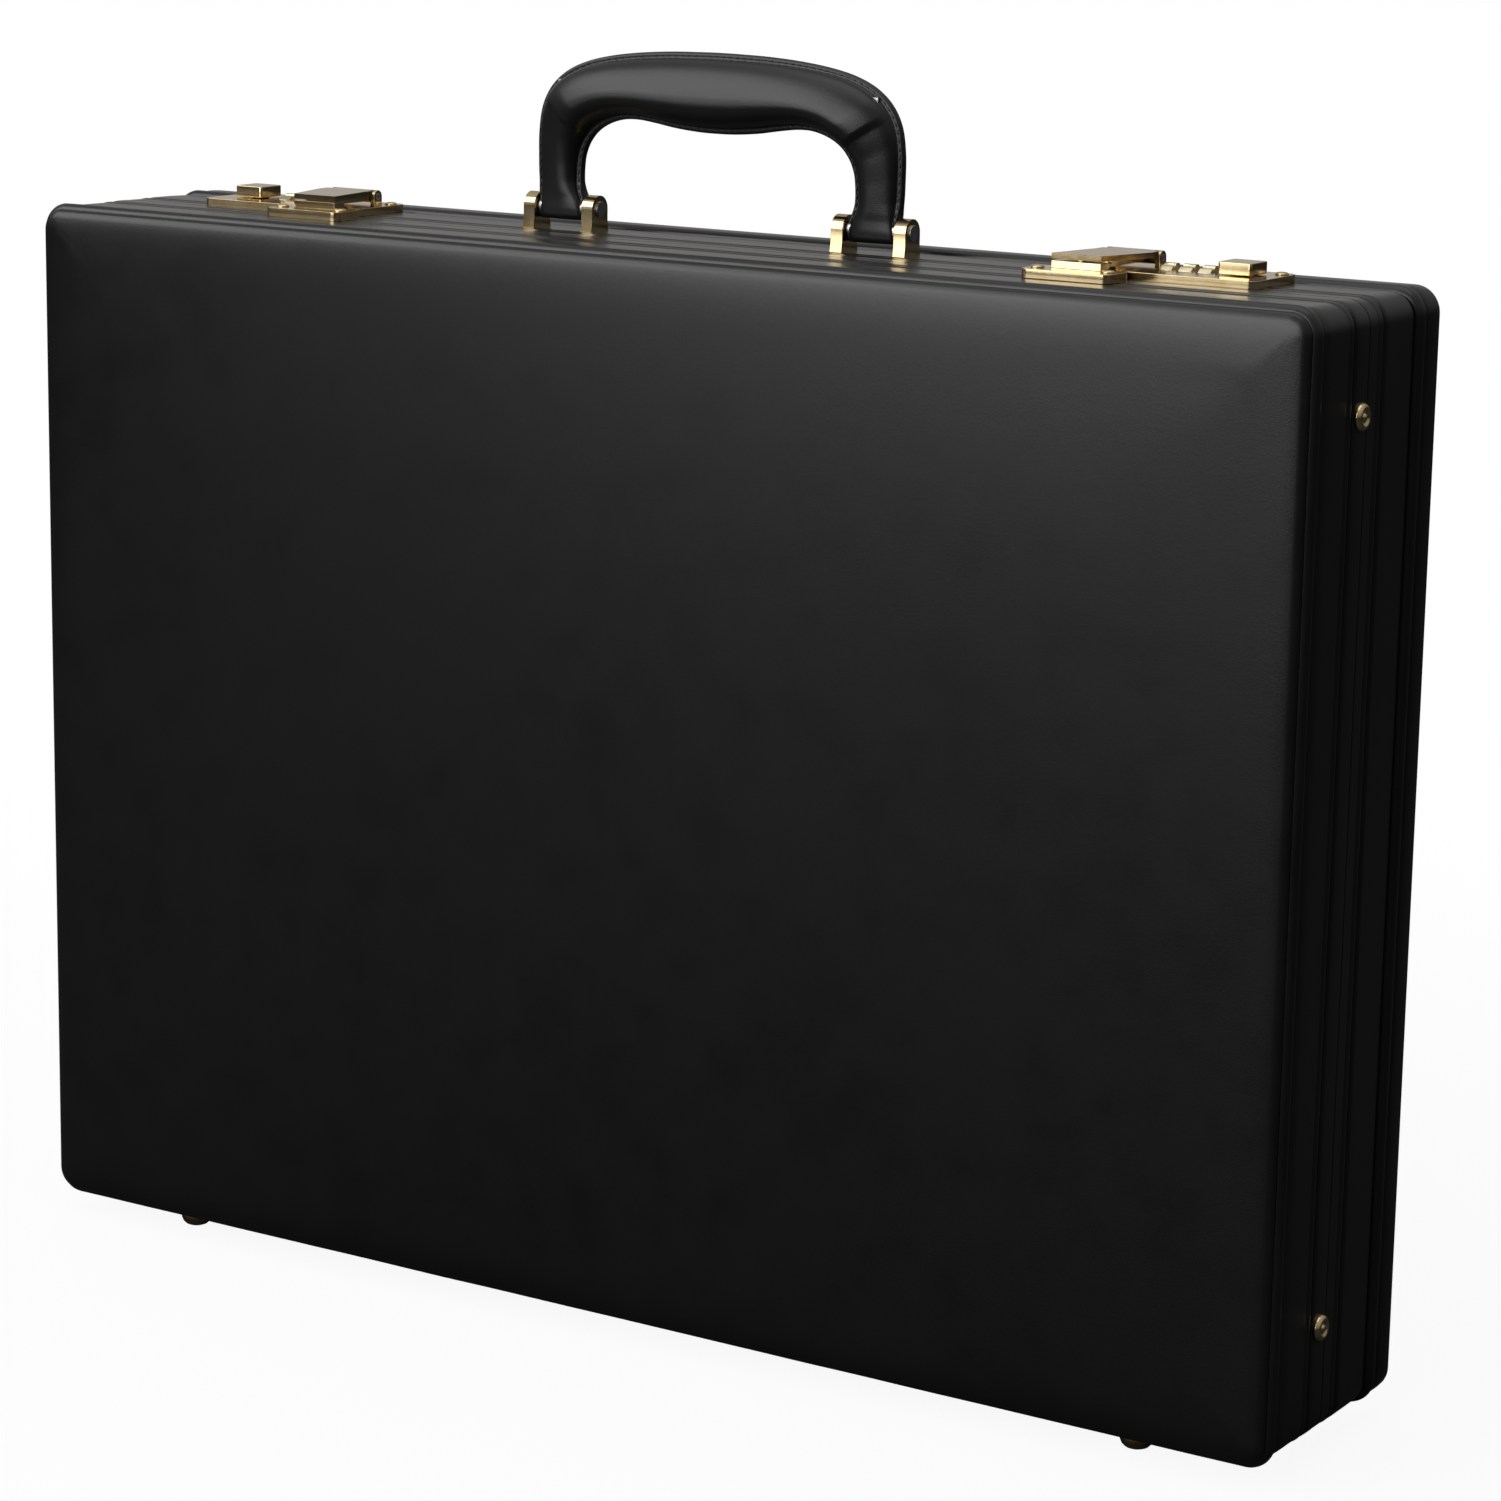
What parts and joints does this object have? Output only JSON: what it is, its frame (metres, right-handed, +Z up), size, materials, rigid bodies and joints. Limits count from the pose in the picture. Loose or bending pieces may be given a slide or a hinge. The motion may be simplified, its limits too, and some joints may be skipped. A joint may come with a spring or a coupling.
{
  "type": "leather attache case",
  "caption": "Hard black leather briefcase with padded panels, a stitched fold-down handle, gold combination locks, domed feet and a hinged lid held by folding stays.",
  "frame": {"origin": "middle of the case at the surface that its feet stand on", "axes": "+X along the width, the lid faces -Y, +Z up towards the handle"},
  "size_m": [0.4522, 0.0855, 0.3905],
  "materials": {
    "panel_leather": "semi-gloss black smooth leather",
    "edge_leather": "semi-gloss black leather",
    "handle_leather": "semi-gloss black leather with stitched edges",
    "case_board": "fibreboard",
    "suede_lining": "napped lining",
    "brass": "polished pale gold",
    "dial_metal": "satin gold",
    "steel": "nickel plated",
    "valance_aluminium": "anodised"
  },
  "bodies": {
    "base": {"base_shell": "case_board", "base_band": "edge_leather", "base_binding": "edge_leather", "rear_piping": "edge_leather", "rear_pad": "panel_leather", "base_lining": "suede_lining", "base_valance": "valance_aluminium", "base_hinge_leaves": "brass", "hinge_pins": "steel", "base_hinge_rivets": "brass", "base_feet": "brass", "ear_left_outer": "brass", "ear_left_inner": "brass", "ear_right_inner": "brass", "ear_right_outer": "brass", "handle_pins": "steel", "handle_backing_plates": "steel", "lock_plate_left": "brass", "lock_plate_right": "brass", "lock_case_left": "steel", "lock_case_right": "steel", "dial_axles": "steel", "hasp_pins": "steel", "lock_rivets": "brass", "slider_springs": "steel", "base_stay_brackets": "steel"},
    "lid": {"lid_shell": "case_board", "front_band": "edge_leather", "lid_binding": "edge_leather", "front_piping": "edge_leather", "front_pad": "panel_leather", "lid_lining": "suede_lining", "lid_hinge_leaves": "brass", "lid_hinge_rivets": "brass", "lid_feet": "brass", "side_studs": "brass", "strike_plate_left": "brass", "strike_plate_right": "brass", "strike_rivets": "brass", "lid_stay_brackets": "steel"},
    "handle": {"handle_grip": "handle_leather", "handle_core": "steel"},
    "hasp_left": {"hasp_left": "brass"},
    "hasp_right": {"hasp_right": "brass"},
    "slider_left": {"slider_left": "brass"},
    "slider_right": {"slider_right": "brass"},
    "dial_left_1": {"dial_left_1": "dial_metal"},
    "dial_left_2": {"dial_left_2": "dial_metal"},
    "dial_left_3": {"dial_left_3": "dial_metal"},
    "dial_right_1": {"dial_right_1": "dial_metal"},
    "dial_right_2": {"dial_right_2": "dial_metal"},
    "dial_right_3": {"dial_right_3": "dial_metal"},
    "base_stay_left": {"base_stay_left": "steel"},
    "lid_stay_left": {"lid_stay_left": "steel"},
    "base_stay_right": {"base_stay_right": "steel"},
    "lid_stay_right": {"lid_stay_right": "steel"}
  },
  "joints": [
    {"name": "lid_hinge", "type": "hinge", "parent": "base", "child": "lid", "pos_m": [0, -0.001, 0.0055], "axis": [1, 0, 0], "range_deg": [0, 95]},
    {"name": "handle_fold", "type": "hinge", "parent": "base", "child": "handle", "pos_m": [0, 0.015, 0.3411], "axis": [1, 0, 0], "range_deg": [-78, 78]},
    {"name": "hasp_left_lift", "type": "hinge", "parent": "base", "child": "hasp_left", "pos_m": [-0.1405, 0.019, 0.3393], "axis": [-1, 0, 0], "range_deg": [0, 100]},
    {"name": "slider_left_push", "type": "slide", "parent": "base", "child": "slider_left", "axis": [-1, 0, 0], "range_m": [0, 0.005], "stiffness_N_per_m": 150, "springref_m": -0.002},
    {"name": "dial_left_1_turn", "type": "hinge", "parent": "base", "child": "dial_left_1", "pos_m": [-0.153, 0.0175, 0.3323], "axis": [1, 0, 0], "continuous": true},
    {"name": "dial_left_2_turn", "type": "hinge", "parent": "base", "child": "dial_left_2", "pos_m": [-0.1592, 0.0175, 0.3323], "axis": [1, 0, 0], "continuous": true},
    {"name": "dial_left_3_turn", "type": "hinge", "parent": "base", "child": "dial_left_3", "pos_m": [-0.1654, 0.0175, 0.3323], "axis": [1, 0, 0], "continuous": true},
    {"name": "hasp_right_lift", "type": "hinge", "parent": "base", "child": "hasp_right", "pos_m": [0.1405, 0.019, 0.3393], "axis": [-1, 0, 0], "range_deg": [0, 100]},
    {"name": "slider_right_push", "type": "slide", "parent": "base", "child": "slider_right", "axis": [1, 0, 0], "range_m": [0, 0.005], "stiffness_N_per_m": 150, "springref_m": -0.002},
    {"name": "dial_right_1_turn", "type": "hinge", "parent": "base", "child": "dial_right_1", "pos_m": [0.153, 0.0175, 0.3323], "axis": [1, 0, 0], "continuous": true},
    {"name": "dial_right_2_turn", "type": "hinge", "parent": "base", "child": "dial_right_2", "pos_m": [0.1592, 0.0175, 0.3323], "axis": [1, 0, 0], "continuous": true},
    {"name": "dial_right_3_turn", "type": "hinge", "parent": "base", "child": "dial_right_3", "pos_m": [0.1654, 0.0175, 0.3323], "axis": [1, 0, 0], "continuous": true},
    {"name": "base_stay_left_fold", "type": "hinge", "parent": "base", "child": "base_stay_left", "pos_m": [-0.2153, 0.009, 0.0905], "axis": [1, 0, 0], "range_deg": [0, 129.32]},
    {"name": "lid_stay_left_fold", "type": "hinge", "parent": "lid", "child": "lid_stay_left", "pos_m": [-0.2138, -0.011, 0.0905], "axis": [1, 0, 0], "range_deg": [-129.32, 0]},
    {"name": "base_stay_right_fold", "type": "hinge", "parent": "base", "child": "base_stay_right", "pos_m": [0.2153, 0.009, 0.0905], "axis": [1, 0, 0], "range_deg": [0, 129.32]},
    {"name": "lid_stay_right_fold", "type": "hinge", "parent": "lid", "child": "lid_stay_right", "pos_m": [0.2138, -0.011, 0.0905], "axis": [1, 0, 0], "range_deg": [-129.32, 0]}
  ],
  "couplings": [
    {"joint": "base_stay_left_fold", "follows": "lid_hinge", "ratio": 1.3602},
    {"joint": "lid_stay_left_fold", "follows": "lid_hinge", "ratio": -1.3602},
    {"joint": "base_stay_right_fold", "follows": "lid_hinge", "ratio": 1.3602},
    {"joint": "lid_stay_right_fold", "follows": "lid_hinge", "ratio": -1.3602}
  ]
}
